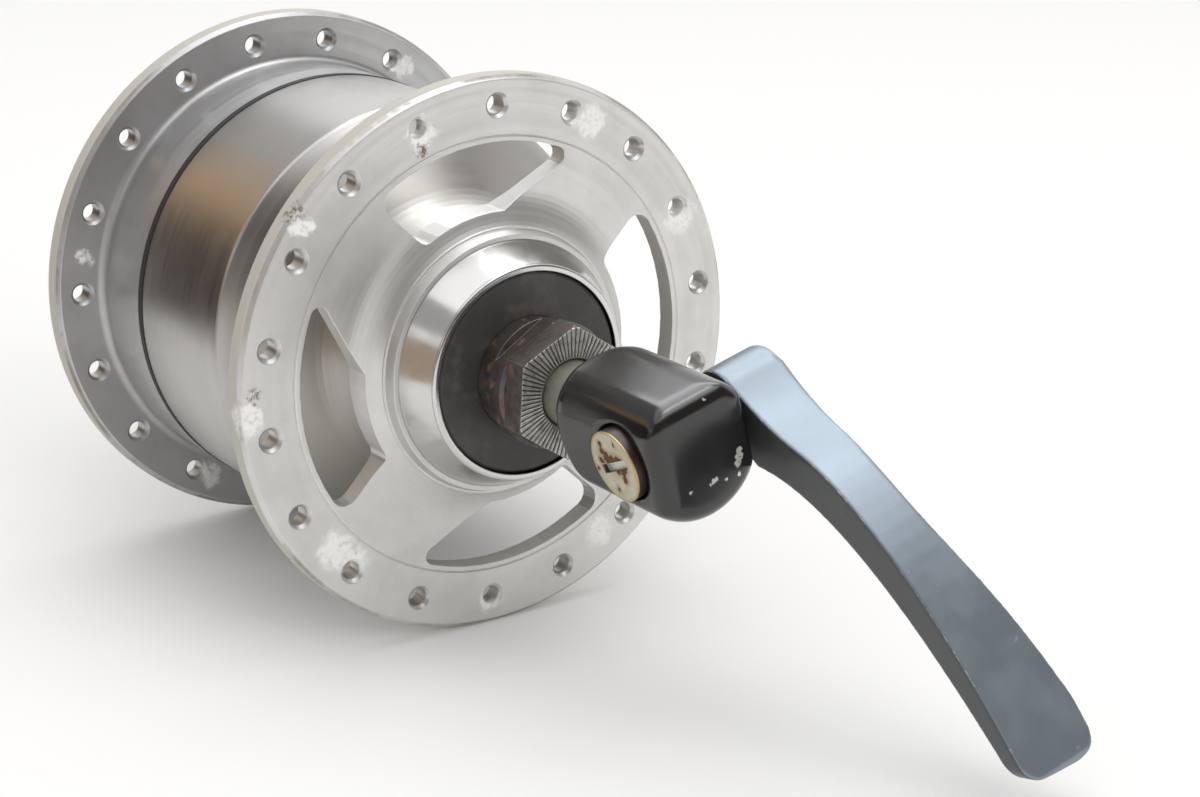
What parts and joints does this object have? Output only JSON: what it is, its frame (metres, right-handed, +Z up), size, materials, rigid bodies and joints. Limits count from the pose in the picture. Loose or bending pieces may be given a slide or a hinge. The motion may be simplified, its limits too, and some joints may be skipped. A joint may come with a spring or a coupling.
{
  "type": "hub dynamo",
  "caption": "Front bicycle hub dynamo: spoked alloy shell with a claw-pole generator in its drum, on a fixed hollow axle clamped by a cam-lever skewer.",
  "frame": {"origin": "on the axle's centre line, midway between the two locknut faces", "axes": "+Y along the axle from the lever end to the far end, +Z up, +X across"},
  "size_m": [0.0782, 0.1932, 0.0782],
  "materials": {
    "zinc_steel": "yellowish zinc plating, satin",
    "dark_steel": "dark browned steel, worn",
    "black_disc": "matte black",
    "soft_iron": "pressed iron, matte",
    "bobbin_plastic": "moulded",
    "copper_wire": "enamelled copper wire, smooth",
    "plain_steel": "machined",
    "black_plastic": "moulded",
    "contact_brass": "stamped",
    "wire_jacket": "extruded",
    "polished_alloy": "polished boss, fine turned drum",
    "satin_alloy": "satin with fine turning marks",
    "black_rubber": "matte",
    "ferrite": "ground ferrite",
    "bearing_steel": "ground and hardened",
    "retainer_brass": "stamped",
    "black_paint": "satin gloss black, chipped edges",
    "lever_paint": "slate grey satin, worn edges",
    "white_nylon": "moulded"
  },
  "bodies": {
    "axle_unit": {"axle": "zinc_steel", "left_cone": "dark_steel", "right_cone": "dark_steel", "left_locknut": "dark_steel", "right_locknut": "dark_steel", "left_dust_cap": "black_disc", "right_dust_cap": "black_disc", "stator_core": "soft_iron", "left_yoke": "soft_iron", "right_yoke": "soft_iron", "coil_bobbin": "bobbin_plastic", "coil_winding": "copper_wire", "stator_nut": "plain_steel", "terminal_block": "black_plastic", "terminal_blades": "contact_brass", "lead_wire": "wire_jacket"},
    "shell": {"hub_shell": "polished_alloy", "left_flange": "satin_alloy", "flange_cap": "satin_alloy", "seam_seal": "black_rubber", "back_iron_ring": "soft_iron", "magnets": "ferrite", "left_bearing_cup": "bearing_steel", "right_bearing_cup": "bearing_steel", "left_lip_seal": "black_rubber", "right_lip_seal": "black_rubber"},
    "left_ball_set": {"left_balls": "bearing_steel", "left_retainer": "retainer_brass"},
    "right_ball_set": {"right_balls": "bearing_steel", "right_retainer": "retainer_brass"},
    "housing": {"cam_housing": "black_paint", "clamp_washer": "plain_steel"},
    "lever": {"lever_arm": "lever_paint", "cam_shaft": "plain_steel", "cam_cap": "zinc_steel"},
    "rod": {"skewer_rod": "plain_steel"},
    "nut": {"adjusting_nut": "black_paint", "nut_insert": "white_nylon"}
  },
  "joints": [
    {"name": "shell_spin", "type": "hinge", "parent": "axle_unit", "child": "shell", "pos_m": [0, 0, 0], "axis": [0, 1, 0], "continuous": true},
    {"name": "left_ball_spin", "type": "hinge", "parent": "axle_unit", "child": "left_ball_set", "pos_m": [0, -0.0346, 0], "axis": [0, 1, 0], "continuous": true},
    {"name": "right_ball_spin", "type": "hinge", "parent": "axle_unit", "child": "right_ball_set", "pos_m": [0, 0.0286, 0], "axis": [0, 1, 0], "continuous": true},
    {"name": "skewer_slide", "type": "slide", "parent": "axle_unit", "child": "housing", "axis": [0, 1, 0], "range_m": [-0.0055, 0.0019]},
    {"name": "lever_turn", "type": "hinge", "parent": "housing", "child": "lever", "pos_m": [0, -0.0711, 0], "axis": [0.9636, 0, 0.2672], "range_deg": [-120, 57]},
    {"name": "rod_pull", "type": "slide", "parent": "housing", "child": "rod", "axis": [0, 1, 0], "range_m": [-0.0006, 0.0012]},
    {"name": "nut_spin", "type": "hinge", "parent": "rod", "child": "nut", "pos_m": [0, 0.0605, 0], "axis": [0, 1, 0], "continuous": true}
  ],
  "couplings": [
    {"joint": "left_ball_spin", "follows": "shell_spin", "ratio": 0.588},
    {"joint": "right_ball_spin", "follows": "shell_spin", "ratio": 0.588},
    {"joint": "rod_pull", "follows": "lever_turn", "m_per_rad": -0.00055}
  ]
}
